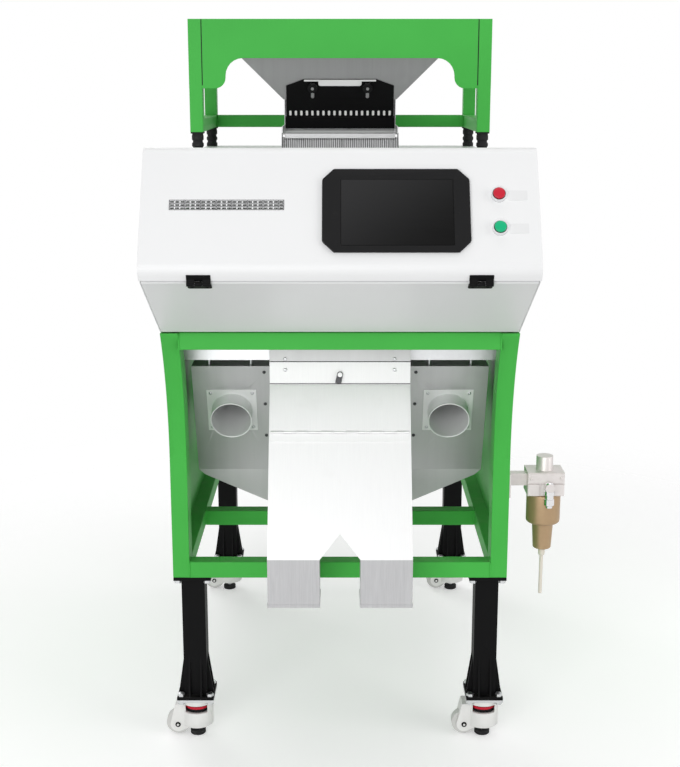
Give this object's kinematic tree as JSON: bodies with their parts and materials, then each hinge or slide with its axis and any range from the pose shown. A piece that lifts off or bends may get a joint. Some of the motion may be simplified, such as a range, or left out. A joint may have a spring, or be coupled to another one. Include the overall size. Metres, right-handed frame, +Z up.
{
  "type": "optical colour sorter",
  "caption": "Single-chute optical colour sorter with a hopper, touch-screen hood, discharge spouts and a raised frame on levelling casters.",
  "frame": {"origin": "on the floor, midway between the four levelling feet", "axes": "+Z up, operator side and screen towards -Y, +X to the operator's right"},
  "size_m": [0.97, 1.4373, 1.748],
  "materials": {
    "green_paint": "satin powder coat",
    "black_paint": "satin",
    "zinc": "zinc plated",
    "white_nylon": "satin",
    "wheel_nylon": "satin",
    "foot_rubber": "matte",
    "white_paint": "gloss powder coat",
    "door_paint": "satin powder coat",
    "black_plastic": "satin",
    "screen_glass": "gloss",
    "chrome": "polished",
    "red_plastic": "gloss",
    "green_plastic": "gloss",
    "steel": "brushed",
    "black_steel": "matte",
    "grey_paint": "satin",
    "lamp": "translucent",
    "aluminium": "machined",
    "bronze": "anodised",
    "outlet_steel": "satin"
  },
  "bodies": {
    "root": {"frame_beams": "green_paint", "frame_side_rails": "green_paint", "front_post_left": "green_paint", "front_post_right": "green_paint", "rear_posts": "green_paint", "frame_side_panels": "green_paint", "legs": "black_paint", "leg_bolts": "zinc", "caster_plates": "zinc", "cabinet_sides": "white_paint", "hood": "white_paint", "roof_panel": "white_paint", "rear_cover": "white_paint", "hood_hinges": "black_paint", "screen_bezel": "black_plastic", "screen_glass": "screen_glass", "button_bezels": "chrome", "hopper_posts": "green_paint", "hopper_front_panel": "green_paint", "hopper_rails": "green_paint", "hopper": "steel", "rubber_mounts": "foot_rubber", "feeder_drive": "grey_paint", "chute": "steel", "front_camera_box": "grey_paint", "rear_camera_box": "grey_paint", "lamp_bars": "lamp", "ejector_block": "aluminium", "air_tank": "grey_paint", "control_box": "grey_paint", "air_filter_head": "aluminium", "air_filter_bowl": "bronze", "discharge_box": "outlet_steel", "flap_hinge": "zinc", "dust_chamber": "steel", "duct_collars": "steel", "chamber_header": "zinc", "cover_screws": "zinc"},
    "door": {"lower_door": "door_paint"},
    "flap": {"discharge_flap": "outlet_steel"},
    "latch": {"flap_latch": "zinc"},
    "stop": {"stop_button": "red_plastic"},
    "start": {"start_button": "green_plastic"},
    "gate": {"hopper_gate": "black_steel"},
    "knob_left": {"gate_knob_left": "black_plastic"},
    "knob_right": {"gate_knob_right": "black_plastic"},
    "tray": {"feeder_tray": "steel"},
    "caster_fl": {"caster_body_fl": "white_nylon"},
    "wheel_fl": {"caster_wheel_fl": "wheel_nylon"},
    "foot_fl": {"caster_foot_fl": "foot_rubber"},
    "caster_fr": {"caster_body_fr": "white_nylon"},
    "wheel_fr": {"caster_wheel_fr": "wheel_nylon"},
    "foot_fr": {"caster_foot_fr": "foot_rubber"},
    "caster_rl": {"caster_body_rl": "white_nylon"},
    "wheel_rl": {"caster_wheel_rl": "wheel_nylon"},
    "foot_rl": {"caster_foot_rl": "foot_rubber"},
    "caster_rr": {"caster_body_rr": "white_nylon"},
    "wheel_rr": {"caster_wheel_rr": "wheel_nylon"},
    "foot_rr": {"caster_foot_rr": "foot_rubber"}
  },
  "joints": [
    {"name": "door_hinge", "type": "hinge", "parent": "root", "child": "door", "pos_m": [0, -0.90583, 1.19735], "axis": [-1, 0, 0], "range_deg": [0, 110]},
    {"name": "flap_hinge", "type": "hinge", "parent": "root", "child": "flap", "pos_m": [0, -0.54014, 0.79445], "axis": [1, 0, 0], "range_deg": [0, 150]},
    {"name": "latch_turn", "type": "hinge", "parent": "root", "child": "latch", "pos_m": [0, -0.4835, 0.92], "axis": [0, 1, 0], "range_deg": [-90, 90]},
    {"name": "stop_press", "type": "slide", "parent": "root", "child": "stop", "axis": [0, 0.8548, -0.5189], "range_m": [0, 0.003], "stiffness_N_per_m": 500},
    {"name": "start_press", "type": "slide", "parent": "root", "child": "start", "axis": [0, 0.8548, -0.5189], "range_m": [0, 0.003], "stiffness_N_per_m": 500},
    {"name": "gate_lift", "type": "slide", "parent": "root", "child": "gate", "axis": [0, -0.3472, 0.9378], "range_m": [0, 0.03]},
    {"name": "knob_left_turn", "type": "hinge", "parent": "root", "child": "knob_left", "pos_m": [-0.075, 0.17343, 1.57217], "axis": [0, -0.9378, -0.3472], "continuous": true},
    {"name": "knob_right_turn", "type": "hinge", "parent": "root", "child": "knob_right", "pos_m": [0.075, 0.17343, 1.57217], "axis": [0, -0.9378, -0.3472], "continuous": true},
    {"name": "tray_shake", "type": "slide", "parent": "root", "child": "tray", "axis": [0, -1, 0], "range_m": [-0.0015, 0.0015], "stiffness_N_per_m": 20000},
    {"name": "swivel_fl", "type": "hinge", "parent": "root", "child": "caster_fl", "pos_m": [-0.355, -0.4775, 0.1], "axis": [0, 0, 1], "continuous": true},
    {"name": "roll_fl", "type": "hinge", "parent": "caster_fl", "child": "wheel_fl", "pos_m": [-0.402, -0.4775, 0.033], "axis": [0, 1, 0], "continuous": true},
    {"name": "level_fl", "type": "slide", "parent": "caster_fl", "child": "foot_fl", "axis": [0, 0, 1], "range_m": [-0.004, 0.006]},
    {"name": "swivel_fr", "type": "hinge", "parent": "root", "child": "caster_fr", "pos_m": [0.355, -0.4775, 0.1], "axis": [0, 0, 1], "continuous": true},
    {"name": "roll_fr", "type": "hinge", "parent": "caster_fr", "child": "wheel_fr", "pos_m": [0.308, -0.4775, 0.033], "axis": [0, 1, 0], "continuous": true},
    {"name": "level_fr", "type": "slide", "parent": "caster_fr", "child": "foot_fr", "axis": [0, 0, 1], "range_m": [-0.004, 0.006]},
    {"name": "swivel_rl", "type": "hinge", "parent": "root", "child": "caster_rl", "pos_m": [-0.355, 0.4775, 0.1], "axis": [0, 0, 1], "continuous": true},
    {"name": "roll_rl", "type": "hinge", "parent": "caster_rl", "child": "wheel_rl", "pos_m": [-0.402, 0.4775, 0.033], "axis": [0, 1, 0], "continuous": true},
    {"name": "level_rl", "type": "slide", "parent": "caster_rl", "child": "foot_rl", "axis": [0, 0, 1], "range_m": [-0.004, 0.006]},
    {"name": "swivel_rr", "type": "hinge", "parent": "root", "child": "caster_rr", "pos_m": [0.355, 0.4775, 0.1], "axis": [0, 0, 1], "continuous": true},
    {"name": "roll_rr", "type": "hinge", "parent": "caster_rr", "child": "wheel_rr", "pos_m": [0.308, 0.4775, 0.033], "axis": [0, 1, 0], "continuous": true},
    {"name": "level_rr", "type": "slide", "parent": "caster_rr", "child": "foot_rr", "axis": [0, 0, 1], "range_m": [-0.004, 0.006]}
  ]
}
